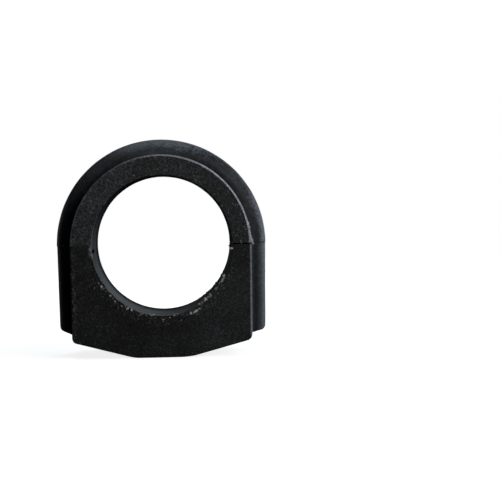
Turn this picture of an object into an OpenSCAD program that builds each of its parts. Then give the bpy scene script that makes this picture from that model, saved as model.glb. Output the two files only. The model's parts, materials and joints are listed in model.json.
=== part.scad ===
/* [Bore] */
// Diameter of the bore, a little less than the bar, so that it grips
bore_d = 29.6; // [24:0.1:36]
// Width of the fitting slit through the right-hand wall
slit_w = 0.25; // [0.1:0.05:1]
// Distance of the bore to the right of the arch's centre line
bore_shift = 0.35; // [0:0.05:1]

/* [Body] */
// Length of the bushing along the bar
length = 30; // [22:1:45]
// Thickness of the wall round the upper half of the bore
wall = 4.35; // [3:0.05:8]
// Height of the bore's centre above the flat of the base
centre_h = 23.8; // [20:0.1:30]
// Height of the base's lower corners above its flat
crown_h = 3.5; // [1:0.1:5]
// Width of the flat in the middle of the base, before its blends
flat_w = 11.6; // [8:0.2:18]
// Radius of the blends between the flat and its two slopes
crown_r = 12; // [3:0.5:20]
// Draft of the flanks below the parting line, in degrees
draft = 0.9; // [0:0.1:3]
// Step inwards at the parting line, where the lower mould half begins
parting_step = 0.08; // [0.05:0.01:0.4]

/* [Rounded edges] */
// Radius of the edges round the arch and down the flanks
edge_r = 0.5; // [0.3:0.1:1.5]
// Radius of the lower corners, between flank and base
corner_r = 1.2; // [0.5:0.1:2.5]

/* [Rib] */
// Height of the rib above the wall
rib_h = 3.6; // [2:0.1:6]
// Radius of the rib's round top
rib_r = 3.75; // [2.5:0.05:4.5]
// Radius of the hollows at the rib's two roots
root_r = 3; // [1.5:0.1:4]
// Height of the rib's two lower ends above the flat of the base, where they meet the flanks
rib_end_h = 4.3; // [2.5:0.1:10]
// Radius of the outer corner of the rib's lower ends
rib_end_r = 0.9; // [0.5:0.1:2.2]

/* [Hidden] */
$fn = 96;

// The bar's axis is Y, the base faces down and the mould's parting line is at z = 0
bore_r = bore_d / 2;
arch_r = bore_r + wall;
flank_x = arch_r - parting_step;
corner_z = crown_h - centre_h;
corner_x = leaned(flank_x, corner_z);
base_slope = crown_h / (corner_x - flat_w / 2);
rib_end_z = rib_end_h - centre_h;
// Largest turn between two points of a rounded edge, in degrees
arc_step = 7.5;
// Distance by which a cutter runs past the solid, and by which the lower half reaches up into the arch
over = 1;
// Distance by which a cutter stands off a face that its round edge would otherwise only touch
stand_off = 0.004;
// Distance by which the rib's legs reach into the flanks
rib_sink = 2;

function unit(v) = v / norm(v);

// Points along an arc, from one angle to another
function arc(centre, r, from, to) =
    let (steps = max(2, ceil(abs(to - from) / arc_step)))
    [for (i = [0 : steps]) let (a = from + (to - from) * i / steps) centre + r * [cos(a), sin(a)]];

// Points that round the corner p of an anticlockwise outline, which comes from a and goes on to b
function rounded_corner(a, p, b, r) =
    let (
        half = acos(unit(a - p) * unit(b - p)) / 2,
        centre = p + unit(unit(a - p) + unit(b - p)) * r / sin(half),
        away = atan2(p.y - centre.y, p.x - centre.x)
    )
    arc(centre, r, away - 90 + half, away + 90 - half);

// A convex, anticlockwise outline with each corner rounded to its own radius, or left sharp at 0
function rounded_outline(points, radii) =
    let (n = len(points))
    [
        for (i = [0 : n - 1])
            each radii[i] > 0
                ? rounded_corner(points[(i + n - 1) % n], points[i], points[(i + 1) % n], radii[i])
                : [points[i]]
    ];

function all_but_first(points) = [for (i = [1 : len(points) - 1]) points[i]];

// Points with their mirror images across the line y = 0, where the last point lies
function both_sides(points) =
    concat(points, [for (i = [len(points) - 2 : -1 : 0]) [points[i].x, -points[i].y]]);

// Half of the rib's section, on a wall whose face is the line x = 0: a hollow root, then the round top
function half_rib() =
    let (
        top_x = rib_h - rib_r,
        root_y = sqrt(pow(rib_r + root_r, 2) - pow(root_r - top_x, 2)),
        meet = atan2(root_y, root_r - top_x)
    )
    concat(
        arc([root_r, -root_y], root_r, 180, 180 - meet),
        all_but_first(arc([top_x, 0], rib_r, -meet, 0))
    );

// Section of the arch's wall with its rib, from the bar's axis out, with y along the bar
module arch_section() {
    end_y = length / 2;
    polygon(both_sides(concat(
        [[0, -end_y]],
        arc([arch_r - edge_r, edge_r - end_y], edge_r, -90, 0),
        [for (p = half_rib()) [arch_r + p.x, p.y]]
    )));
}

// Upper half, as if the bore were solid: the section swung half a turn about the bar
module arch() {
    rotate([90, 0, 0]) rotate_extrude(angle = 180) arch_section();
}

// Half-width at the height z of an outline that is side_x wide at the parting line and leans in below it
function leaned(side_x, z) = side_x + z * tan(draft);

// Extrudes a section drawn at a flank, with x out from its face, down the flank's slant
module down_the_flank() {
    translate([flank_x, 0, 0])
        rotate([0, draft, 0])
            translate([0, 0, -centre_h - over]) linear_extrude(centre_h + 3 * over) children();
}

// What rounds off the upright edge at the far end of the right-hand flank
module edge_cutter() {
    translate([0, length / 2, 0])
        down_the_flank()
            translate([stand_off, stand_off])
                polygon(concat(
                    arc([-edge_r, -edge_r], edge_r, 0, 90),
                    [[-edge_r, over], [over, over], [over, -edge_r]]
                ));
}

// The body below the parting line, as if the bore were solid, with its crowned base
module block() {
    top_x = leaned(flank_x, over);
    flat_x = flat_w / 2;
    outline = rounded_outline(
        [
            [top_x, over],
            [-top_x, over],
            [-corner_x, corner_z],
            [-flat_x, -centre_h],
            [flat_x, -centre_h],
            [corner_x, corner_z]
        ],
        [0, 0, corner_r, crown_r, crown_r, corner_r]
    );
    difference() {
        rotate([90, 0, 0]) linear_extrude(length, center = true) polygon(outline);
        for (side = [0, 1], end = [0, 1])
            mirror([side, 0, 0]) mirror([0, end, 0]) edge_cutter();
    }
}

// The rib down the right-hand flank, whose lower end slopes as the base does and has a rounded corner
module rib_leg() {
    root_x = leaned(flank_x, rib_end_z);
    foot_z = rib_end_z + rib_h * base_slope;
    foot_x = leaned(flank_x + rib_h, foot_z) + stand_off;
    top_x = leaned(flank_x + rib_h, over) + stand_off;
    inner_z = rib_end_z - (root_x - bore_r) * base_slope;
    outline = rounded_outline(
        [[top_x, over], [bore_r, over], [bore_r, inner_z], [foot_x, foot_z]],
        [0, 0, 0, rib_end_r]
    );
    section = both_sides([[-rib_sink, half_rib()[0].y], for (p = half_rib()) [p.x - stand_off, p.y]]);
    intersection() {
        down_the_flank() polygon(section);
        rotate([90, 0, 0]) linear_extrude(length, center = true) polygon(outline);
    }
}

module bushing() {
    color("#222426")
        difference() {
            translate([-bore_shift, 0, 0]) {
                arch();
                block();
                rib_leg();
                mirror([1, 0, 0]) rib_leg();
            }
            rotate([90, 0, 0]) cylinder(h = length + 2 * over, r = bore_r, center = true);
            translate([0, -length / 2 - over, -slit_w / 2])
                cube([arch_r + rib_h + over, length + 2 * over, slit_w]);
        }
}

bushing();
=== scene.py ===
import json
import math
import random

import bpy
import numpy as np
from bpy.props import FloatProperty, FloatVectorProperty, IntProperty, PointerProperty
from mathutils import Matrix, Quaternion, Vector, noise


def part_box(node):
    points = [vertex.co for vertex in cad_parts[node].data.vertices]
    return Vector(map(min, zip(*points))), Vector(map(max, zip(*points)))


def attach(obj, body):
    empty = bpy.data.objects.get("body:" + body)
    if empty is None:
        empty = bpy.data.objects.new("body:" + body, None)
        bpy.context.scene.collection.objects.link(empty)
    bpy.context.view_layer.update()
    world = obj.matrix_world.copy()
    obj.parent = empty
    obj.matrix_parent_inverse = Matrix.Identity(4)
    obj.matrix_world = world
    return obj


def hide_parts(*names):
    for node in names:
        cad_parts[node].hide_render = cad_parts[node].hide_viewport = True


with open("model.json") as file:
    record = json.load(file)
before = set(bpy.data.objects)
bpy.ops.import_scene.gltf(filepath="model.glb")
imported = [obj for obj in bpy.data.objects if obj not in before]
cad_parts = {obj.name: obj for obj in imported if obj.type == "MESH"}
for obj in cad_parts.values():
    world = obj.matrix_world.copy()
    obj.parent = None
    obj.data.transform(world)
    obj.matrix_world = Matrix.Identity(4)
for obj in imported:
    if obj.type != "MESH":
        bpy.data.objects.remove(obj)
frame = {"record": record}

bl_info = {
    "name": "Sway bar bushing",
    "version": (1, 0, 0),
    "blender": (4, 5, 0),
    "location": "3D View > Sidebar > Bushing",
    "description": "Models a moulded rubber sway bar bushing in its packed frame",
    "category": "Object",
}

MM = 0.001
PHOTO_SIDE = 500
SENSOR_WIDTH = 36.0

LOW, HIGH = (Vector(corner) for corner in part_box("bushing"))
BORE = next(m for m in frame["record"]["mounts"] if m["name"] == "bore")
BORE_RADIUS = BORE["dims"]["r_mm"] * MM
HALF_WIDTH = (HIGH.x - LOW.x) / 2
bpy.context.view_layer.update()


def length_property(name, description, default):
    return FloatProperty(
        name=name, description=description, default=default, unit="LENGTH", subtype="DISTANCE", precision=5
    )


def angle_property(name, description, degrees):
    return FloatProperty(
        name=name, description=description, default=math.radians(degrees), unit="ROTATION", subtype="ANGLE"
    )


def colour_property(name, description, default):
    return FloatVectorProperty(
        name=name, description=description, default=default, subtype="COLOR", size=3, min=0, max=1
    )


class BushingShape(bpy.types.PropertyGroup):
    """Sizes of the moulded body"""

    bore_radius: length_property("Bore radius", "Radius of the bore", BORE_RADIUS)
    length: length_property("Length", "Length along the bar, less the flash", HIGH.y - LOW.y - 0.12 * MM)
    centre_height: length_property("Centre height", "Bore's centre above the base's flat", -LOW.z)
    offset: length_property("Offset", "Arch's centre to the right of the bore's", (LOW.x + HIGH.x) / 2)
    arch_radius: length_property("Arch radius", "Radius of the arch between rib and ends", HALF_WIDTH - 3.6 * MM)
    rib_step: length_property("Rib step", "Step inwards of the rib's crest at the parting line", 0.08 * MM)
    rib_draft: angle_property("Rib draft", "Lean of the rib's crest below the parting line", 0.9)
    left_step: length_property("Left step", "Step inwards of the left-hand flank", 0.01 * MM)
    right_step: length_property("Right step", "Step inwards of the right-hand flank", -0.1 * MM)
    left_draft: angle_property("Left draft", "Lean of the left-hand flank", 0.3)
    right_draft: angle_property("Right draft", "Lean of the right-hand flank", 0.5)
    crown_height: length_property("Crown height", "Lower corners above the base's flat", 3.5 * MM)
    flat_width: length_property("Flat width", "Width of the base's flat before its blends", 11.6 * MM)
    left_blend: length_property("Left blend", "Between the flat and the left-hand slope", 9 * MM)
    right_blend: length_property("Right blend", "Between the flat and the right-hand slope", 16 * MM)
    left_corner: length_property("Left corner", "Radius of the left-hand lower corner", 1.2 * MM)
    right_corner: length_property("Right corner", "Radius of the right-hand lower corner", 1.45 * MM)
    edge_radius: length_property("Edge radius", "Edges round the arch and down the flanks", 0.36 * MM)
    base_edge_radius: length_property("Base edge radius", "Edges along the base's ends", 0.25 * MM)
    rim_radius: length_property("Rim radius", "Rims of the bore", 0.08 * MM)
    rib_height: length_property("Rib height", "Rib above the wall", 3.6 * MM)
    rib_radius: length_property("Rib radius", "Round top of the rib", 3.75 * MM)
    root_radius: length_property("Root radius", "Hollows at the rib's roots", 3 * MM)
    rib_end_height: length_property("Rib end height", "Rib's lower ends above the base's flat", 4.25 * MM)
    rib_end_radius: length_property("Rib end radius", "Corners of the rib's lower ends", 1.15 * MM)
    left_end_slope: angle_property("Left end slope", "Rise of the left-hand rib end outwards", 21)
    right_end_slope: angle_property("Right end slope", "Rise of the right-hand rib end outwards", 11)
    slit_width: length_property("Slit width", "Gap between the two lips at the ends", 0.3 * MM)
    slit_middle: length_property("Slit middle", "Gap between the two lips inside the wall", 0.02 * MM)


class BushingFlash(bpy.types.PropertyGroup):
    """Sizes of the moulding marks"""

    unevenness: length_property("Unevenness", "Height of the skin's soft waves", 0.035 * MM)
    wave_length: length_property("Wave length", "Size of the skin's soft waves", 3.5 * MM)
    ridge_height: length_property("Ridge height", "Flash ridge along the parting line", 0.13 * MM)
    ridge_width: length_property("Ridge width", "Width of the flash ridge", 0.16 * MM)
    lip_flare: length_property("Lip flare", "How far the slit's upper lip stands out", 0.7 * MM)
    lip_reach: length_property("Lip reach", "Height over which the lip's flare fades", 1.1 * MM)
    crumb_size: length_property("Crumb size", "Half-width of a large crumb of torn flash", 0.34 * MM)
    crumb_rise: length_property("Crumb rise", "Half-thickness of the crumbs on the ends", 0.09 * MM)
    fibre_width: length_property("Fibre width", "Half-width of the torn fibre", 0.07 * MM)
    fibre_length: length_property("Fibre length", "Torn fibre across the slit", 1.3 * MM)
    fibre_from_rim: length_property("Fibre place", "Torn fibre to the right of the bore's rim", 1.9 * MM)
    crumb_count: IntProperty(name="Stray crumbs", description="Scattered along each lower rim", default=26, min=0)
    seed: IntProperty(name="Seed", description="Of the random draws", default=7)


class BushingFinish(bpy.types.PropertyGroup):
    """Colours of the rubber, of what lies on it, and of painted light and shade"""

    rubber: colour_property("Rubber", "Bare moulded rubber", (0.006, 0.0058, 0.0066))
    worn: colour_property("Worn rubber", "Buffed and bloomed rubber", (0.2, 0.208, 0.21))
    # Painted shade: near-black laid into the rib's hollows, pit marks by the rim and the slit's dark line; it also
    # colours the dark nib
    shade: colour_property("Shaded rubber", "Clean rubber in the rib's hollows", (0.003, 0.0032, 0.0036))
    bore: colour_property("Bore", "Smooth skin of the bore", (0.021, 0.0235, 0.0265))
    # Painted shade: a dark diffuse mixed over the bore towards its far end and over the rib's hollows on the left and
    # upper right
    painted_deep_shade: colour_property("Deep bore", "Skin of the bore towards its far end", (0.004, 0.0045, 0.0055))
    # Real mould release dust, also laid as painted sheen on the rib's lit top and right-hand side
    dust: colour_property("Dust", "Mould release dust on the rib and the arch", (0.215, 0.237, 0.262))
    # Painted highlight: bluish white laid along the edges round the ends and along the lower-left near rim
    edge: colour_property("Edge", "Rubbed edges round the ends", (0.8, 0.84, 0.9))
    fleck: colour_property("Fleck", "Torn flash and pale flecks", (0.46, 0.45, 0.43))
    roughness: FloatProperty(name="Roughness", description="Of the bare rubber", default=0.5, min=0, max=1)
    stroke_angle: angle_property("Stroke angle", "Slant of the buffing marks on the ends", 45)
    crumb: colour_property("Crumb", "Whitest torn flash", (0.8, 0.81, 0.81))
    tan: colour_property("Tan crumb", "Stained torn flash", (0.4, 0.31, 0.21))


class BushingStudio(bpy.types.PropertyGroup):
    """Camera and light"""

    distance: length_property("Distance", "Camera to the bore's centre", 463.6 * MM)
    azimuth: angle_property("Azimuth", "Camera to the right of the bore's axis", 0.713)
    elevation: angle_property("Elevation", "Camera above the bore's axis", 0.95)
    roll: angle_property("Roll", "Turn of the camera about its line of sight", -1.2)
    centre_pixel: FloatVectorProperty(
        name="Centre pixel", description="Where the bore's centre shows in the photograph", size=2,
        default=(162.9, 243.8),
    )
    focal_pixels: FloatProperty(
        name="Focal length", description="Of the camera, in the photograph's pixels", default=2123.0
    )
    lamp_distance: length_property("Lamp distance", "Lamps to the bore's centre", 600 * MM)
    lamp_size: length_property("Lamp size", "Diameter of each soft lamp", 220 * MM)
    lamp_colour: colour_property("Lamp colour", "Lamps on the camera's side", (0.955, 0.98, 1.0))
    back_colour: colour_property("Back colour", "Cooler lamps beside and behind the bushing", (0.8, 0.91, 1.0))
    lamp_power: FloatProperty(name="Lamp power", description="Multiplies the power of all lamps", default=1.0)
    floor_gap: length_property("Floor gap", "Floor below the base, so that they never share a plane", 0.02 * MM)
    room: FloatProperty(name="Room", description="Brightness of the room around", default=0.0)


def deselect_all():
    if bpy.context.object and bpy.context.object.mode != "OBJECT":
        bpy.ops.object.mode_set(mode="OBJECT")
    bpy.ops.object.select_all(action="DESELECT")


def pick(piece):
    deselect_all()
    piece.select_set(True)
    bpy.context.view_layer.objects.active = piece


def finish_piece(piece, name, material):
    """Names a piece, gives it its material and hands it to the frame"""
    piece.name = piece.data.name = name
    piece.data.materials.clear()
    piece.data.materials.append(material)
    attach(piece, "root")


def arc(centre, radius, start, end, steps):
    """Points along an arc, both ends included; the angles are in radians"""
    angles = np.linspace(start, end, steps + 1)
    return [(centre[0] + radius * math.cos(a), centre[1] + radius * math.sin(a)) for a in angles]


def line(start, end, steps):
    """Points from start to end, both included"""
    return [tuple(p) for p in np.linspace(start, end, steps + 1)]


class Station:
    """One place along the body's outline, seen along the bar"""

    def __init__(
        self, point, normal, edge_radius, rib_limit=math.inf, above_slit=None, bore_angle=None, lip=0, rib_share=1
    ):
        self.point = Vector((point[0], point[1]))
        self.normal = Vector((normal[0], normal[1]))
        self.edge_radius = edge_radius
        self.rib_limit = rib_limit
        self.above_slit = above_slit
        self.bore_angle = bore_angle
        self.lip = lip
        self.rib_share = rib_share

    def mirrored(self):
        point, normal = (-self.point.x, self.point.y), (-self.normal.x, self.normal.y)
        return Station(point, normal, self.edge_radius, self.rib_limit, rib_share=self.rib_share)


def rib_profile(shape):
    """Offsets along the bar and heights of the rib's section, from one root to the other"""
    top = shape.rib_height - shape.rib_radius
    reach = shape.rib_radius + shape.root_radius
    root = math.sqrt(reach**2 - (shape.root_radius - top) ** 2)
    meet = math.atan2(root, shape.root_radius - top)
    hollow = arc((shape.root_radius, -root), shape.root_radius, math.pi, math.pi - meet, 9)
    crown = arc((top, 0), shape.rib_radius, -meet, meet, 24)[1:-1]
    rising = [(y, height) for height, y in hollow]
    return rising + [(y, height) for height, y in crown] + [(-y, height) for y, height in reversed(rising)]


def outline_stations(shape):
    """The outline from the slit's upper lip over the arch and round the base to the lower lip"""
    half_slit = shape.slit_width / 2
    outer_lip = math.asin(half_slit / shape.arch_radius)
    bore_lip = math.asin(half_slit / shape.bore_radius)
    near_lip = [outer_lip + 0.0035 * step for step in (0, 1, 2.5, 5, 8, 12, 17, 23, 30, 38, 47, 57)]
    rest = list(np.linspace(near_lip[-1], math.pi, 118))[1:]
    near_parting = [math.pi - 0.01 * step for step in (1.2, 0.8, 0.4)]
    stations = []
    for angle in sorted(near_lip + rest + near_parting):
        normal = (math.cos(angle), math.sin(angle))
        point = (shape.arch_radius * normal[0], shape.arch_radius * normal[1])
        share = (angle - outer_lip) / (math.pi - outer_lip)
        bore_angle = bore_lip + share * (math.pi - bore_lip)
        above_slit = shape.arch_radius * (angle - outer_lip)
        lip = 1 if angle == outer_lip else 0
        stations.append(Station(point, normal, shape.edge_radius, math.inf, above_slit, bore_angle, lip))
    stations += lower_stations(shape, "left")
    right = lower_stations(shape, "right")
    right = [station.mirrored() for station in right]
    stations += [station for station in reversed(right[:-1]) if station.point.y < -half_slit]
    flank = right[0]
    lower_lip = Station((flank.point.x, -half_slit), flank.normal, flank.edge_radius, lip=-1, rib_share=flank.rib_share)
    lower_lip.bore_angle = -bore_lip
    stations.append(lower_lip)
    for station in stations:
        station.point.x += shape.offset
    return stations


def rib_end_limit(shape, slope):
    """The rib's height at each height z of the flank, down to its sloped and rounded lower end"""
    end = shape.rib_end_height - shape.centre_height
    radius = shape.rib_end_radius
    centre = end + (radius + math.sin(slope) * (shape.rib_height - radius)) / math.cos(slope)

    def limit(z):
        if z <= end:
            return 0.0
        if z < centre - radius * math.cos(slope):
            return (z - end) / math.tan(slope)
        if z < centre:
            return shape.rib_height - radius + math.sqrt(radius**2 - (z - centre) ** 2)
        return math.inf

    return limit, end, centre


def lower_stations(shape, side):
    """One flank, its lower corner, the slope and half of the base's flat, all as if they were on the left"""
    corner_radius, crown_radius = getattr(shape, side + "_corner"), getattr(shape, side + "_blend")
    step, draft = getattr(shape, side + "_step"), getattr(shape, side + "_draft")
    end_slope = getattr(shape, side + "_end_slope")
    flank = shape.arch_radius - step
    corner_z = shape.crown_height - shape.centre_height
    corner = Vector((-flank - corner_z * math.tan(draft), corner_z))
    foot = Vector((-shape.flat_width / 2, -shape.centre_height))
    slope = (foot - corner).normalized()
    slope_angle = math.atan2(-slope.y, slope.x)
    down = Vector((math.sin(draft), -math.cos(draft)))
    out = Vector((-math.cos(draft), -math.sin(draft)))
    turn = math.acos(down.dot(slope))
    corner_cut = corner_radius * math.tan(turn / 2)
    crown_cut = crown_radius * math.tan(slope_angle / 2)
    corner_start = corner - down * corner_cut
    corner_centre = corner_start - out * corner_radius
    crown_centre = Vector((foot.x + crown_cut, foot.y + crown_radius))
    limit, rib_end, rib_full = rib_end_limit(shape, end_slope)

    def rib_at(z):
        """The limit and the share of the rib's height, on a flank that stands out further than the crest's line"""
        lost = shape.rib_step - step - z * (math.tan(shape.rib_draft) - math.tan(draft))
        return {"rib_limit": max(0.0, limit(z) - lost), "rib_share": 1 - lost / shape.rib_height}

    near_parting = [0.0, -0.05 * MM, -0.12 * MM, -0.2 * MM, -0.35 * MM, -0.6 * MM]
    plain = list(np.linspace(-1 * MM, rib_full + 0.3 * MM, 34))
    rib_end_rows = list(np.linspace(rib_full, rib_end, 26)) + [rib_end - 0.01 * MM]
    heights = [z for z in near_parting + plain + rib_end_rows if z > corner_start.y + 0.02 * MM]
    stations = []
    for z in heights:
        point = (-flank - z * math.tan(draft), z)
        stations.append(Station(point, out, shape.edge_radius, **rib_at(z)))
    turn_start = math.atan2(out.y, out.x)
    for k, (x, z) in enumerate(arc(corner_centre, corner_radius, turn_start, turn_start + turn, 16)):
        share = k / 16
        normal = ((x - corner_centre.x) / corner_radius, (z - corner_centre.y) / corner_radius)
        edge_radius = shape.edge_radius * (1 - share) + shape.base_edge_radius * share
        stations.append(Station((x, z), normal, edge_radius, **rib_at(z)))
    slope_normal = Vector((slope.y, -slope.x))
    slope_start = corner + slope * corner_cut
    slope_end = foot - slope * crown_cut
    for x, z in line(slope_start, slope_end, 28)[1:]:
        stations.append(Station((x, z), slope_normal, shape.base_edge_radius, 0.0))
    crown_start = math.atan2(slope_end.y - crown_centre.y, slope_end.x - crown_centre.x)
    for x, z in arc(crown_centre, crown_radius, crown_start, -math.pi / 2, 8)[1:]:
        normal = ((x - crown_centre.x) / crown_radius, (z - crown_centre.y) / crown_radius)
        stations.append(Station((x, z), normal, shape.base_edge_radius, 0.0))
    for x, z in line((crown_centre.x, -shape.centre_height), (0, -shape.centre_height), 9)[1:]:
        stations.append(Station((x, z), (0, -1), shape.base_edge_radius, 0.0))
    return stations


EDGE_STEPS = 6
PLAIN_STEPS = 12
FACE_STEPS = 18
RIM_STEPS = 3
BORE_STEPS = 40


def slit_opening(shape, y):
    """Half the gap between the slit's lips, wide at the ends and almost closed inside the wall"""
    from_end = max(0.0, shape.length / 2 - abs(y))
    return (shape.slit_middle + (shape.slit_width - shape.slit_middle) * math.exp(-from_end / (1.6 * MM))) / 2


def section_ring(shape, flash, profile, station):
    """One closed section through the wall: outer face, far end, bore, near end"""
    half = shape.length / 2
    radius = station.edge_radius
    rounding = [(math.pi / 2) * (1 - k / EDGE_STEPS) for k in range(EDGE_STEPS + 1)]
    outer = [(-half + radius * (1 - math.sin(a)), -radius * (1 - math.cos(a))) for a in rounding]
    outer += line((outer[-1][0], 0), (profile[0][0], 0), PLAIN_STEPS)[1:-1]
    outer += [(y, min(height * station.rib_share, station.rib_limit)) for y, height in profile]
    mirrored = [(-y, height) for y, height in reversed(outer[: EDGE_STEPS + PLAIN_STEPS])]
    outer += mirrored
    points = []
    for y, height in outer:
        place = station.point + station.normal * (height + lip_flare(shape, flash, station, y, height))
        points.append((place.x, y, place.y))

    angle = station.bore_angle
    if angle is None:
        angle = math.atan2(station.point.y, station.point.x)
    spoke = Vector((math.cos(angle), math.sin(angle)))
    bore, rim = shape.bore_radius, shape.rim_radius
    shoulder = station.point - station.normal * radius
    ring = spoke * (bore + rim)
    face = [shoulder.lerp(ring, k / FACE_STEPS) for k in range(1, FACE_STEPS)]
    rim_turns = [(math.pi / 2) * k / RIM_STEPS for k in range(RIM_STEPS + 1)]
    rim_arc = [(bore + rim * (1 - math.sin(a)), half - rim * (1 - math.cos(a))) for a in rim_turns]
    points += [(p.x, half, p.y) for p in face]
    points += [(spoke.x * r, y, spoke.y * r) for r, y in rim_arc]
    points += [(spoke.x * bore, y, spoke.y * bore) for y in np.linspace(half - rim, rim - half, BORE_STEPS + 1)[1:-1]]
    points += [(spoke.x * r, -y, spoke.y * r) for r, y in reversed(rim_arc)]
    points += [(p.x, -half, p.y) for p in reversed(face)]
    if station.lip:
        points = [(x, y, station.lip * slit_opening(shape, y)) for x, y, z in points]
    return points


def lip_flare(shape, flash, station, y, height):
    """How far the torn flash at the slit's upper lip stands out from the face, away from the rib"""
    if station.above_slit is None or station.above_slit > 8 * MM:
        return 0.0
    ragged = 0.65 + 0.6 * noise.noise(Vector((y / (2.2 * MM), 0.3, 7.1)))
    near_end = 0.35 + 0.65 * min(1.0, max(0.0, (abs(y) - 9 * MM) / (4 * MM)))
    beside_rib = max(0.0, 1 - height / shape.rib_height)
    return flash.lip_flare * ragged * near_end * beside_rib * math.exp(-station.above_slit / flash.lip_reach)


def add_unevenness(piece, shape, flash):
    """Soft waves over the whole skin and a ragged flash ridge down the left parting line"""
    mesh = piece.data
    count = len(mesh.vertices)
    places, normals = np.empty(count * 3), np.empty(count * 3)
    mesh.vertices.foreach_get("co", places)
    mesh.vertices.foreach_get("normal", normals)
    places, normals = places.reshape(-1, 3), normals.reshape(-1, 3)
    lowest, highest = np.array(LOW), np.array(HIGH)
    end = shape.length / 2
    rise = np.zeros(count)
    for i, place in enumerate(places):
        wave = noise.fractal(Vector(place) / flash.wave_length, 1.0, 2.0, 3)
        from_slit = 1.0 if place[0] < 0 else min(1.0, abs(place[2]) / (0.6 * MM))
        rise[i] = flash.unevenness * wave * max(0.0, from_slit - 0.3)
        if place[0] > 0 or abs(place[2]) > 4 * flash.ridge_width:
            continue
        near_line = math.exp(-((place[2] / flash.ridge_width) ** 2))
        if abs(place[1]) > end - 0.01 * MM:
            rise[i] -= 0.6 * flash.ridge_height * near_line
        elif math.hypot(place[0], place[2]) > shape.bore_radius + 1 * MM:
            ragged = max(0.0, 0.55 + 0.9 * noise.noise(Vector((place[1] / (1.1 * MM), 4.2, 0.7))))
            rise[i] += flash.ridge_height * ragged * near_line
    places = places + normals * rise[:, None]
    places = np.clip(places, lowest, highest)
    mesh.vertices.foreach_set("co", places.ravel())
    mesh.update()


def close_lip(body, side):
    """Fills the open end of the wall above the slit, where side is 1, or below it"""
    bpy.ops.object.mode_set(mode="EDIT")
    bpy.ops.mesh.select_mode(type="EDGE")
    bpy.ops.mesh.select_all(action="DESELECT")
    bpy.ops.mesh.select_non_manifold(extend=False, use_wire=False, use_multi_face=False, use_verts=False)
    bpy.ops.object.mode_set(mode="OBJECT")
    mesh = body.data
    for edge in mesh.edges:
        if edge.select:
            edge.select = mesh.vertices[edge.vertices[0]].co.z * side > 0
    bpy.ops.object.mode_set(mode="EDIT")
    bpy.ops.mesh.fill(use_beauty=True)
    bpy.ops.object.mode_set(mode="OBJECT")


class OBJECT_OT_bushing_body(bpy.types.Operator):
    """Models the one-piece rubber body: arch, rib, flanks, crowned base, bore and slit"""

    bl_idname = "object.bushing_body"
    bl_label = "Bushing body"

    def execute(self, context):
        shape, flash = context.scene.bushing_shape, context.scene.bushing_flash
        stations = outline_stations(shape)
        profile = rib_profile(shape)
        rings = [section_ring(shape, flash, profile, station) for station in stations]
        around, across = len(rings), len(rings[0])
        deselect_all()
        bpy.ops.mesh.primitive_grid_add(x_subdivisions=across, y_subdivisions=around - 1, size=shape.length)
        body = context.object
        places = [ring + ring[:1] for ring in rings]
        body.data.vertices.foreach_set("co", np.array(places).ravel())
        body.data.update()
        bpy.ops.object.mode_set(mode="EDIT")
        bpy.ops.mesh.select_all(action="SELECT")
        bpy.ops.mesh.remove_doubles(threshold=0.002 * MM)
        bpy.ops.object.mode_set(mode="OBJECT")
        for side in (1, -1):
            close_lip(body, side)
        bpy.ops.object.mode_set(mode="EDIT")
        bpy.ops.mesh.select_all(action="SELECT")
        bpy.ops.mesh.normals_make_consistent(inside=False)
        bpy.ops.object.mode_set(mode="OBJECT")
        add_unevenness(body, shape, flash)
        pick(body)
        bpy.ops.object.shade_smooth_by_angle(angle=math.radians(32))
        finish_piece(body, "bushing_body", moulded_rubber(context.scene.bushing_finish, shape))
        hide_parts("bushing")
        return {"FINISHED"}


# Crumbs of torn flash on the lower half of each rim of the bore: how far each cluster is turned about
# the bore, in degrees, and how far it lies from the rim, in mm, then its crumbs and half its spread, in degrees
CRUMB_CLUSTERS = (
    (356.5, -0.15, 4, 0.8),
    (331, -0.2, 7, 3),
    (322, -0.2, 8, 4),
    (314, -0.2, 9, 5),
    (304, -0.2, 12, 4),
    (297, 0.8, 7, 6),
    (276, 0.3, 3, 6),
    (261, 0.1, 6, 3),
    (253, 0.3, 6, 4),
    (240, 0.3, 4, 5),
    (226, 0.5, 5, 5),
    (216, 0.6, 5, 3),
)


def add_crumb(seed, place, size, turn):
    """Copies the crumb, with its own mesh, to a place"""
    crumb = seed.copy()
    crumb.data = seed.data.copy()
    bpy.context.collection.objects.link(crumb)
    crumb.location = place
    crumb.scale = size
    crumb.rotation_euler = (0, turn, 0)
    return crumb


def rim_crumbs(seed, shape, flash, end):
    """Clusters of crumbs and stray ones along the lower half of the rim at one end"""
    crumbs = []
    clusters = CRUMB_CLUSTERS + ((270, 0.6, flash.crumb_count, 75),)
    sheltered = 0.2 if end > 0 else 0.0
    overhang = 0.3 * MM if end < 0 else 0.0
    for turn, beyond, count, spread in clusters:
        for _ in range(count):
            angle = math.radians(turn + random.uniform(-spread, spread))
            reach = shape.bore_radius + (sheltered + beyond + random.uniform(-0.1, 0.5) * random.random()) * MM
            width = flash.crumb_size * random.uniform(0.3, 1) ** 1.3
            if spread > 60:
                reach += random.random() ** 2 * 1.6 * MM
                width *= 0.45
            reach = max(reach, shape.bore_radius + 0.5 * width - overhang)
            y = end * (HIGH.y - flash.crumb_rise * 1.05)
            place = (reach * math.cos(angle), y, reach * math.sin(angle))
            size = (width * random.uniform(1, 1.9), flash.crumb_rise, width * random.uniform(0.6, 1))
            crumbs.append(add_crumb(seed, place, size, random.uniform(-math.pi, math.pi)))
    return crumbs


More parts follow.
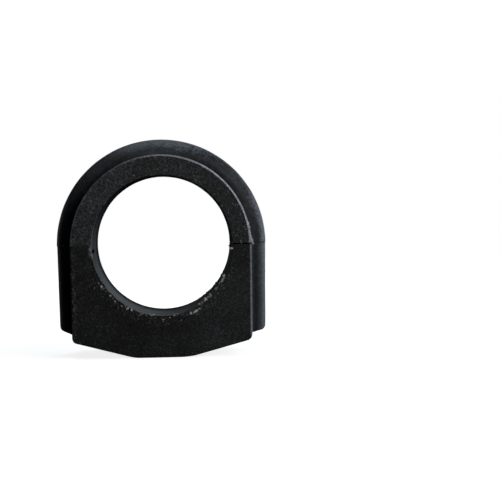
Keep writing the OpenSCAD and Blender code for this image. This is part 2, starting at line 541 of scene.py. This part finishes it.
def lip_crumbs(seed, shape, flash, end):
    """Blotches of torn flash up the outer edge of the slit's upper lip, and the fibre across the slit"""
    crumbs = []
    for _ in range(26):
        height = random.random() ** 1.5 * 4.4 * MM
        angle = math.asin(height / shape.arch_radius)
        width = flash.crumb_size * random.uniform(0.35, 0.95)
        stand = 0.75 * math.exp(-height / flash.lip_reach) * flash.lip_flare * random.random()
        reach = shape.arch_radius + stand
        y = end * (HIGH.y - flash.crumb_rise * 2 - shape.edge_radius * random.uniform(0.6, 2.4))
        place = (shape.offset + reach * math.cos(angle), y, reach * math.sin(angle))
        size = (width * 0.6, width * 0.8, width * random.uniform(0.8, 1.6))
        crumbs.append(add_crumb(seed, place, size, random.uniform(-0.4, 0.4)))
    middle = (shape.bore_radius + flash.fibre_from_rim, end * (HIGH.y - flash.crumb_rise), 0.25 * MM)
    size = (flash.fibre_width, flash.crumb_rise, flash.fibre_length / 2)
    crumbs.append(add_crumb(seed, middle, size, math.radians(-12)))
    if end < 0:
        nib = (-shape.bore_radius + 0.25 * MM, end * (HIGH.y - flash.crumb_rise), -0.95 * MM)
        crumbs.append(add_crumb(seed, nib, (0.36 * MM, flash.crumb_rise, 0.55 * MM), 0))
    return crumbs


class OBJECT_OT_bushing_crumbs(bpy.types.Operator):
    """Scatters the crumbs of torn flash along the rims of the bore and on the slit's upper lip"""

    bl_idname = "object.bushing_crumbs"
    bl_label = "Torn flash"

    def execute(self, context):
        shape, flash = context.scene.bushing_shape, context.scene.bushing_flash
        random.seed(flash.seed)
        deselect_all()
        bpy.ops.mesh.primitive_ico_sphere_add(subdivisions=1, radius=1)
        seed = context.object
        crumbs = []
        for end in (-1, 1):
            crumbs += rim_crumbs(seed, shape, flash, end) + lip_crumbs(seed, shape, flash, end)
        pick(seed)
        bpy.ops.object.delete()
        for crumb in crumbs:
            crumb.select_set(True)
        context.view_layer.objects.active = crumbs[0]
        bpy.ops.object.join()
        bpy.ops.object.transform_apply(location=True, rotation=True, scale=True)
        piece = context.object
        for vertex in piece.data.vertices:
            shift = noise.noise_vector(vertex.co / (0.3 * MM)) * 0.12 * MM
            vertex.co.x += shift.x
            vertex.co.z += shift.z
        finish_piece(piece, "torn_flash", torn_flash(context.scene.bushing_finish))
        return {"FINISHED"}


class ShaderValue:
    """A shader socket whose operators add the Math nodes of an expression"""

    def __init__(self, tree, socket):
        self.tree, self.socket = tree, socket

    def __add__(self, other):
        return self.tree.math("ADD", self, other)

    __radd__ = __add__

    def __sub__(self, other):
        return self.tree.math("SUBTRACT", self, other)

    def __rsub__(self, other):
        return self.tree.math("SUBTRACT", other, self)

    def __mul__(self, other):
        return self.tree.math("MULTIPLY", self, other)

    __rmul__ = __mul__

    def __truediv__(self, other):
        return self.tree.math("DIVIDE", self, other)

    def __abs__(self):
        return self.tree.math("ABSOLUTE", self)


class ShaderTree:
    """A new material whose nodes are made by one method"""

    def __init__(self, name):
        self.material = bpy.data.materials.new(name)
        self.material.use_nodes = True
        self.nodes = self.material.node_tree.nodes
        self.links = self.material.node_tree.links
        self.nodes.clear()

    def node(self, kind, settings=None, inputs=None, output=0):
        """Adds a node, sets its settings first and then the values or links of its sockets"""
        made = self.nodes.new(kind)
        for key, value in (settings or {}).items():
            setattr(made, key, value)
        for key, value in (inputs or {}).items():
            socket = made.inputs[key]
            if isinstance(value, ShaderValue):
                self.links.new(value.socket, socket)
            else:
                socket.default_value = value
        return ShaderValue(self, made.outputs[output])

    def surface(self, shader):
        """Links the finished shader to the material's output"""
        output = self.nodes.new("ShaderNodeOutputMaterial")
        self.links.new(shader.socket, output.inputs["Surface"])
        return self.material

    def math(self, operation, *values):
        return self.node("ShaderNodeMath", {"operation": operation}, dict(enumerate(values)))

    def smallest(self, a, b):
        return self.math("MINIMUM", a, b)

    def largest(self, a, b):
        return self.math("MAXIMUM", a, b)

    def step(self, value, start, end, low=0.0, high=1.0):
        """Rises smoothly from low to high as the value goes from start to end"""
        inputs = {"Value": value, 1: start, 2: end, 3: low, 4: high}
        return self.node("ShaderNodeMapRange", {"interpolation_type": "SMOOTHSTEP"}, inputs)

    def mix(self, factor, a, b):
        """Mixes two colours"""
        settings = {"data_type": "RGBA", "clamp_factor": True}
        made = self.nodes.new("ShaderNodeMix")
        for key, value in settings.items():
            setattr(made, key, value)
        for index, value in ((0, factor), (6, a), (7, b)):
            if isinstance(value, ShaderValue):
                self.links.new(value.socket, made.inputs[index])
            else:
                made.inputs[index].default_value = value if index == 0 else (*value, 1)
        return ShaderValue(self, made.outputs[2])

    def axes(self, vector):
        made = self.nodes.new("ShaderNodeSeparateXYZ")
        self.links.new(vector.socket, made.inputs[0])
        return [ShaderValue(self, made.outputs[i]) for i in range(3)]

    def turned(self, vector, rotation=(0, 0, 0), scale=(1, 1, 1)):
        inputs = {"Vector": vector, "Rotation": rotation, "Scale": scale}
        return self.node("ShaderNodeMapping", {"vector_type": "POINT"}, inputs)

    def combed(self, vector, angle, sizes):
        """Coordinates turned about the bar's axis and stretched, for marks that run one way"""
        inputs = {"Vector": vector, "Rotation": (0, angle, 0), "Scale": sizes}
        return self.node("ShaderNodeMapping", {"vector_type": "TEXTURE"}, inputs)

    def share(self, value):
        """Keeps a value between 0 and 1"""
        return self.smallest(self.largest(value, 0.0), 1.0)

    def noise(self, vector, scale, detail=3.0, roughness=0.55):
        inputs = {"Vector": vector, "Scale": scale, "Detail": detail, "Roughness": roughness}
        return self.node("ShaderNodeTexNoise", {"noise_dimensions": "3D"}, inputs)

    def specks(self, vector, scale, seed_share=0.5, size=0.2):
        """Small round spots: one in some of the cells of a cell pattern"""
        settings = {"feature": "F1", "voronoi_dimensions": "3D"}
        cells = self.nodes.new("ShaderNodeTexVoronoi")
        for key, value in settings.items():
            setattr(cells, key, value)
        self.links.new(vector.socket, cells.inputs["Vector"])
        cells.inputs["Scale"].default_value = scale
        distance = ShaderValue(self, cells.outputs["Distance"])
        lot = self.axes(ShaderValue(self, cells.outputs["Color"]))
        chosen = self.step(lot[0], 1 - seed_share, 1 - seed_share + 0.02)
        spot_size = size * (0.35 + lot[1] * 0.65)
        return chosen * self.step(distance / spot_size, 0.6, 1.0, 1.0, 0.0)


def moulded_rubber(finish, shape):
    """Matt black rubber: grain, buffing marks on the ends, dust and pale flecks, painted highlights on the edges and
    the rib's lit side, painted shade in the hollows, pit marks, slit and far bore, painted light in the lower bore
    """
    tree = ShaderTree("moulded_rubber")
    place = tree.node("ShaderNodeTexCoord", output=3)
    millimetres = tree.turned(place, scale=(1 / MM,) * 3)
    x, y, z = tree.axes(millimetres)
    half = shape.length / MM / 2
    bore = shape.bore_radius / MM
    arch = shape.arch_radius / MM
    from_axis = tree.math("SQRT", x * x + z * z)
    aside = x - shape.offset / MM
    over = tree.largest(z, 0.0)
    under = tree.largest(0 - z, 0.0)
    lower_right = tree.step(x, -1.0, 1.0) * tree.step(z, 0.1, -0.1)
    lean = math.tan(shape.left_draft) + lower_right * (math.tan(shape.right_draft) - math.tan(shape.left_draft))
    rise = tree.math("SQRT", aside * aside + over * over) - arch + under * lean
    rise = rise + lower_right * (shape.right_step / MM)

    on_end = tree.step(abs(y), half - 0.3, half - 0.12)
    in_bore = (1 - on_end) * tree.step(from_axis, bore + 0.3, bore + 0.15)
    outside = (1 - on_end) * (1 - in_bore)
    above = tree.step(z, -0.1, 0.1)

    cloud = tree.noise(millimetres, 0.14, 3.0, 0.6)
    mottle = tree.noise(millimetres, 0.8, 3.0, 0.6)
    grain = tree.noise(millimetres, 3.2, 2.0, 0.6)
    combed = tree.combed(millimetres, finish.stroke_angle, (0.8, 1.0, 0.28))
    strokes = tree.noise(combed, 1.0, 2.0, 0.6)
    scratches = tree.noise(tree.combed(millimetres, finish.stroke_angle + 0.15, (0.5, 1.0, 0.14)), 1.0, 1.0, 0.5)

    speckle = tree.share((grain - 0.3) / 0.4)
    right = tree.step(x, -4.0, 16.0)
    buffing = tree.share((strokes * 0.5 + scratches * 0.35 + grain * 0.15 - 0.36) / 0.28)
    # Share of buffing marks on the ends: a little more on the lower right, much more on the upper half, whose extra
    # lightness is partly painted light falling from above
    wear_and_painted_top_light = 0.03 + tree.step(z, -2.0, -9.0) * right * 0.1 + above * (0.28 - right * 0.13)
    worn = on_end * wear_and_painted_top_light * buffing * buffing * 3.2 * (cloud * 1.7 - 0.05 + mottle * 0.3) + outside * 0.02
    haze = tree.step(tree.noise(millimetres, 0.16, 2.0, 0.5), 0.42, 0.58) * 0.5
    haze = (haze + tree.step(from_axis, bore + 2.5, bore + 7.0) * 0.35) * (1 - above)
    haze = haze * (0.15 + tree.step(strokes * 0.6 + mottle * 0.4, 0.4, 0.62) * 1.7)
    worn = worn + on_end * (tree.step(grain, 0.52, 0.72) * 0.14 + haze * (0.02 + speckle * 0.09) - 0.014)

    arched = tree.step(z, 3.0, 14.0)
    # Dust on the rib's crest, with painted sheen where the light falls: far more on the crest's top and the right-hand
    # side, and extra pale patches on the upper half
    crest = outside * tree.step(rise, 1.0 - arched * 1.2 + above * tree.step(aside, 8.0, 18.0) * 0.9, 3.35)
    painted_light_side = tree.step(z, 18.3, 22.5) + tree.step(aside, 17.0, 22.5) * (0.85 + above * 0.4)
    dust_and_sheen = crest * (0.12 + arched * 0.09 + painted_light_side * 0.75) * (cloud * 1.5 + mottle * 0.6 - 0.05)
    scuffs = tree.step(tree.noise(millimetres, 1.5, 3.0, 0.7), 0.42, 0.6) * 1.1 - 0.45
    marks = scuffs * tree.step(aside, -2.0, 8.0) * above
    dust_and_sheen = dust_and_sheen * (0.4 + speckle * 1.2) * (0.95 + marks)
    dust_and_sheen = dust_and_sheen + outside * tree.step(mottle, 0.5, 0.8) * 0.1
    dust_and_sheen = dust_and_sheen + outside * above * tree.step(cloud * 0.5 + mottle * 0.5, 0.42, 0.62) * speckle * 0.11
    # Painted shade in the hollows at the rib's roots, a little less on the arch
    hollow = outside * tree.step(rise, 1.8, 0.2) * (0.9 - arched * 0.25)

    # Painted highlight along the edges round the ends: strong on the right and upper right, weak on the left and the
    # lower half
    painted_edge_highlight = 0.16 + tree.step(aside, -13.0, 6.0) * 0.5 + above * tree.step(aside, 5.0, 12.0) * 0.4
    painted_edge_highlight = (painted_edge_highlight - (1 - above) * 0.28) * (0.6 + tree.step(mottle, 0.35, 0.6) * 0.4)
    edges = tree.step(rise, -0.45, -0.27) * tree.step(abs(y), half - 0.6, half - 0.35) * painted_edge_highlight
    # Painted highlight: a thin bright line along the lower-left near rim of the bore
    rim = tree.step(abs(y), half - 0.4, half - 0.2) * tree.step(from_axis, bore + 0.25, bore + 0.05)
    rim = rim * tree.step(x + z, -6.0, -14.0)
    # Dark spot on the bore wall under the nib
    from_nib = tree.math("SQRT", (x + 14.5) * (x + 14.5) + (z + 0.95) * (z + 0.95) * 0.35)
    nib = tree.step(from_nib, 0.45, 0.3) * tree.step(y, 0.7 - half, 0.3 - half)
    bloom = on_end * tree.step(from_nib, 1.3, 0.5) * tree.step(grain, 0.35, 0.6)
    # Painted shade: dark pit marks in a ragged band just outside the lower-left near rim, joined with the nib's dark
    # spot
    painted_pit_shade = on_end * tree.step(from_axis, bore + 0.85, bore + 0.45) * tree.step(x + z * 0.6, -13.0, -17.0)
    painted_pit_shade = tree.largest(painted_pit_shade * tree.step(z, -5.0, -7.5) * tree.step(mottle, 0.45, 0.53), nib)
    # Painted shadow: a dark line along the slit on the outside, where the almost closed gap shows no shade of its own
    painted_slit_shadow = outside * tree.step(abs(z), 0.2, 0.08) * tree.step(x, 1.0, 2.0)
    slit_lip = above * tree.step(z, 3.6, 0.4) * tree.step(x, arch - 1.2, arch - 0.6)
    slit_lip = slit_lip * tree.step(abs(y), half - 2.2, half - 0.8) * tree.step(mottle, 0.42, 0.6)

    flat = tree.turned(millimetres, scale=(1, 0, 1))
    speckled = on_end * (0.18 + above * 0.82)
    spots = tree.specks(flat, 0.8, 0.6, 0.17) * speckled
    dots = tree.specks(flat, 2.1, 0.35, 0.34) * speckled
    stray = tree.specks(millimetres, 1.1, 0.30, 0.22) * outside
    smear = on_end * tree.step(from_axis, bore + 3.2, bore + 0.4) * tree.step(z, 0.0, -9.0)
    smear = smear * tree.step(grain * 0.6 + mottle * 0.4, 0.52, 0.66)
    frayed = on_end * tree.step(rise, -1.3, -0.5) * tree.step(x, -14.0, -16.0) * tree.step(z, 0.0, -2.5)
    frayed = frayed * tree.step(grain * 0.6 + mottle * 0.4, 0.48, 0.62)
    parting = tree.step(abs(z), 0.28, 0.06) * outside * tree.step(mottle, 0.5, 0.62) * tree.step(x, 1.0, -1.0)
    flecks = spots + dots * 0.6 + stray * 0.4 + smear * 0.35 + parting * 0.5 + slit_lip * 0.8 + bloom + frayed * 0.3

    colour = tree.mix(tree.share(worn), finish.rubber, finish.worn)
    # Painted shade: the hollows turn near-black
    colour = tree.mix(tree.share(hollow), colour, finish.shade)
    colour = tree.mix(tree.share(dust_and_sheen), colour, finish.dust)
    # Painted light: a pale patch on the lower right of the bore, standing in for lamp light; the bore's painted shade
    # is left out there
    painted_bore_light = tree.step(x, 1.0, 8.5) * tree.step(z, -0.2, -2.5)
    colour = tree.mix(in_bore, colour, finish.bore)
    colour = tree.mix(in_bore * painted_bore_light * (0.3 + speckle * 0.7), colour, finish.fleck)
    # Painted highlight on the edges and the near rim
    colour = tree.mix(tree.share((edges * 0.95 + rim * 0.3) * (0.6 + speckle * 0.6)), colour, finish.edge)
    stained = tree.step(tree.noise(millimetres, 0.5, 1.0), 0.54, 0.64) * 0.6
    colour = tree.mix(tree.share(flecks), colour, tree.mix(stained, finish.fleck, finish.tan))
    colour = tree.mix(tree.share(painted_pit_shade + painted_slit_shadow * 0.8), colour, finish.shade)
    roughness = finish.roughness + tree.share(worn) * 0.12 + tree.share(dust_and_sheen) * 0.12

    relief = grain * 0.6 + mottle * 0.3 + strokes * on_end * 1.0 + flecks * 0.5
    bump = tree.node(
        "ShaderNodeBump", inputs={"Strength": 0.6, "Distance": 0.06 * MM, "Height": relief}
    )
    skin = tree.node(
        "ShaderNodeBsdfPrincipled",
        inputs={"Base Color": colour, "Roughness": roughness, "Normal": bump, "Specular IOR Level": 0.35},
    )
    painted_deep_shade = tree.node("ShaderNodeBsdfDiffuse", inputs={"Color": (*finish.painted_deep_shade, 1)})
    # Painted shade: the bore darkens towards its far end, and the rib's hollows on the left and upper right darken, by
    # mixing in the dark diffuse
    shaded = tree.step(y, -half * 0.2, half * 0.85) * 0.8 + tree.step(y, half * 0.7, half * 0.95) * 0.2
    shaded = in_bore * shaded * (1 - painted_bore_light)
    shaded = shaded + hollow * (tree.step(aside, 2.0, -12.0) * 0.7 + tree.step(aside, 12.0, 18.0) * above * 0.35)
    return tree.surface(tree.node("ShaderNodeMixShader", inputs={0: shaded, 1: skin, 2: painted_deep_shade}))


def torn_flash(finish):
    """Paler, rougher rubber of the torn crumbs, some of them stained tan"""
    tree = ShaderTree("torn_flash")
    millimetres = tree.turned(tree.node("ShaderNodeTexCoord", output=3), scale=(1 / MM,) * 3)
    colour = tree.mix(tree.step(tree.noise(millimetres, 1.1, 2.0, 0.5), 0.34, 0.54), finish.worn, finish.crumb)
    stained = tree.step(tree.noise(tree.turned(millimetres, rotation=(0, 1, 0)), 0.9, 2.0, 0.5), 0.6, 0.64)
    x, y, z = tree.axes(millimetres)
    colour = tree.mix(stained * tree.step(z, -0.5, -1.5) * 0.9, colour, finish.tan)
    # The nib crumb is coloured with the near-black used for painted shade
    from_nib = tree.math("SQRT", (x + 14.5) * (x + 14.5) + (z + 0.95) * (z + 0.95))
    colour = tree.mix(tree.step(from_nib, 0.85, 0.75), colour, finish.shade)
    skin = tree.node(
        "ShaderNodeBsdfPrincipled",
        inputs={"Base Color": colour, "Roughness": 0.8, "Specular IOR Level": 0.35},
    )
    return tree.surface(skin)


# Each lamp's angle up from the right, its angle towards the camera, both in degrees, and its power
LAMPS = {
    "window": (40, 35, 0.56),
    "front": (35, 60, 0.5),
    "right": (0, -40, 0.68),
    "upper_right": (18, 0, 0.4),
    "top": (95, -8, 0.42),
    "far_right": (42, -60, 0.2),
    "far_top": (80, -62, 0.13),
    "far_left": (175, -45, 0.08),
    "upper_left": (128, 5, 0.045),
}


def add_lamp(name, studio):
    """Hangs a soft lamp that looks at the bushing"""
    up, forward, power = LAMPS[name]
    up, forward = math.radians(up), math.radians(forward)
    towards = Vector((
        math.cos(up) * math.cos(forward),
        -math.sin(forward),
        math.sin(up) * math.cos(forward),
    ))
    deselect_all()
    bpy.ops.object.light_add(type="AREA", location=towards * studio.lamp_distance)
    lamp = bpy.context.object
    lamp.name = name
    lamp.data.shape = "DISK"
    lamp.data.size = studio.lamp_size
    lamp.data.energy = power * studio.lamp_power
    lamp.data.color = studio.lamp_colour if forward > 0 else studio.back_colour
    lamp.rotation_mode = "QUATERNION"
    lamp.rotation_quaternion = (-towards).to_track_quat("-Z", "Y")


def white_floor():
    """Pale matt floor that shows the camera pure white wherever no shadow falls"""
    tree = ShaderTree("studio_floor")
    matt = tree.node("ShaderNodeBsdfDiffuse", inputs={"Color": (0.8, 0.8, 0.8, 1)})
    dull = tree.node("ShaderNodeBsdfDiffuse", inputs={"Color": (0.05, 0.05, 0.05, 1)})
    x, y, z = tree.axes(tree.node("ShaderNodeTexCoord", output=3))
    near = tree.step(tree.math("SQRT", x * x + y * y), 110 * MM, 35 * MM)
    pale = tree.mix(near, (1, 1, 1), (0.84, 0.84, 0.84))
    glow = tree.node("ShaderNodeEmission", inputs={"Color": pale, "Strength": 1.0})
    path = tree.node("ShaderNodeLightPath", output=0)
    both = tree.node("ShaderNodeAddShader", inputs={0: matt, 1: glow})
    shown = tree.node("ShaderNodeMixShader", inputs={0: path, 1: dull, 2: both})
    return tree.surface(shown)


def white_room(world, brightness):
    """Background that the camera sees as white, and that lights the object only a little"""
    world.use_nodes = True
    nodes, links = world.node_tree.nodes, world.node_tree.links
    nodes.clear()
    seen = nodes.new("ShaderNodeBackground")
    seen.inputs["Color"].default_value = (1, 1, 1, 1)
    lit = nodes.new("ShaderNodeBackground")
    lit.inputs["Color"].default_value = (0.86, 0.92, 1.0, 1)
    lit.inputs["Strength"].default_value = brightness
    path = nodes.new("ShaderNodeLightPath")
    mix = nodes.new("ShaderNodeMixShader")
    output = nodes.new("ShaderNodeOutputWorld")
    links.new(path.outputs["Is Camera Ray"], mix.inputs[0])
    links.new(lit.outputs[0], mix.inputs[1])
    links.new(seen.outputs[0], mix.inputs[2])
    links.new(mix.outputs[0], output.inputs["Surface"])


def add_camera(studio):
    """Stands the camera so that the bore's centre falls on its pixel, with no lens shift"""
    back = Vector((
        math.sin(studio.azimuth) * math.cos(studio.elevation),
        -math.cos(studio.azimuth) * math.cos(studio.elevation),
        math.sin(studio.elevation),
    ))
    middle = PHOTO_SIDE / 2
    in_view = Vector((
        (studio.centre_pixel[0] - middle) / studio.focal_pixels,
        (middle - studio.centre_pixel[1]) / studio.focal_pixels,
        -1.0,
    ))
    deselect_all()
    bpy.ops.object.camera_add(location=back * studio.distance)
    camera = bpy.context.object
    camera.name = "camera"
    camera.data.sensor_width = SENSOR_WIDTH
    camera.data.lens = studio.focal_pixels / PHOTO_SIDE * SENSOR_WIDTH
    camera.data.clip_start = 0.01
    camera.rotation_mode = "QUATERNION"
    aside = in_view.rotation_difference(Vector((0, 0, -1)))
    roll = Quaternion((0, 0, 1), studio.roll)
    camera.rotation_quaternion = (-back).to_track_quat("-Z", "Y") @ roll @ aside
    bpy.context.scene.camera = camera


class OBJECT_OT_bushing_stage(bpy.types.Operator):
    """Sets the pale floor, the soft lamps and the camera"""

    bl_idname = "object.bushing_stage"
    bl_label = "Stage"

    def execute(self, context):
        scene, studio = context.scene, context.scene.bushing_studio
        deselect_all()
        bpy.ops.mesh.primitive_plane_add(size=6, location=(0, 0, LOW.z - studio.floor_gap))
        floor = context.object
        floor.name = "floor"
        floor.data.materials.append(white_floor())
        for name in LAMPS:
            add_lamp(name, studio)
        if scene.world is None:
            scene.world = bpy.data.worlds.new("room")
        white_room(scene.world, studio.room)
        add_camera(studio)
        scene.view_settings.view_transform = "Standard"
        return {"FINISHED"}


class VIEW3D_PT_bushing(bpy.types.Panel):
    """Lists the bushing's pieces and their sizes"""

    bl_label = "Sway bar bushing"
    bl_idname = "VIEW3D_PT_bushing"
    bl_space_type = "VIEW_3D"
    bl_region_type = "UI"
    bl_category = "Bushing"

    def draw(self, context):
        layout = self.layout
        for operator in (OBJECT_OT_bushing_body, OBJECT_OT_bushing_crumbs, OBJECT_OT_bushing_stage):
            layout.operator(operator.bl_idname)
        for group in ("bushing_shape", "bushing_flash", "bushing_finish", "bushing_studio"):
            settings = getattr(context.scene, group)
            column = layout.column(heading=group.replace("_", " ").capitalize())
            for name in settings.__annotations__:
                column.prop(settings, name)


GROUPS = {
    "bushing_shape": BushingShape,
    "bushing_flash": BushingFlash,
    "bushing_finish": BushingFinish,
    "bushing_studio": BushingStudio,
}
OTHERS = (OBJECT_OT_bushing_body, OBJECT_OT_bushing_crumbs, OBJECT_OT_bushing_stage, VIEW3D_PT_bushing)


def register():
    for name, group in GROUPS.items():
        bpy.utils.register_class(group)
        setattr(bpy.types.Scene, name, PointerProperty(type=group))
    for item in OTHERS:
        bpy.utils.register_class(item)


def unregister():
    for item in reversed(OTHERS):
        bpy.utils.unregister_class(item)
    for name, group in reversed(GROUPS.items()):
        delattr(bpy.types.Scene, name)
        bpy.utils.unregister_class(group)


def main():
    register()
    bpy.ops.object.bushing_body()
    bpy.ops.object.bushing_crumbs()
    bpy.ops.object.bushing_stage()


if __name__ == "__main__":
    main()
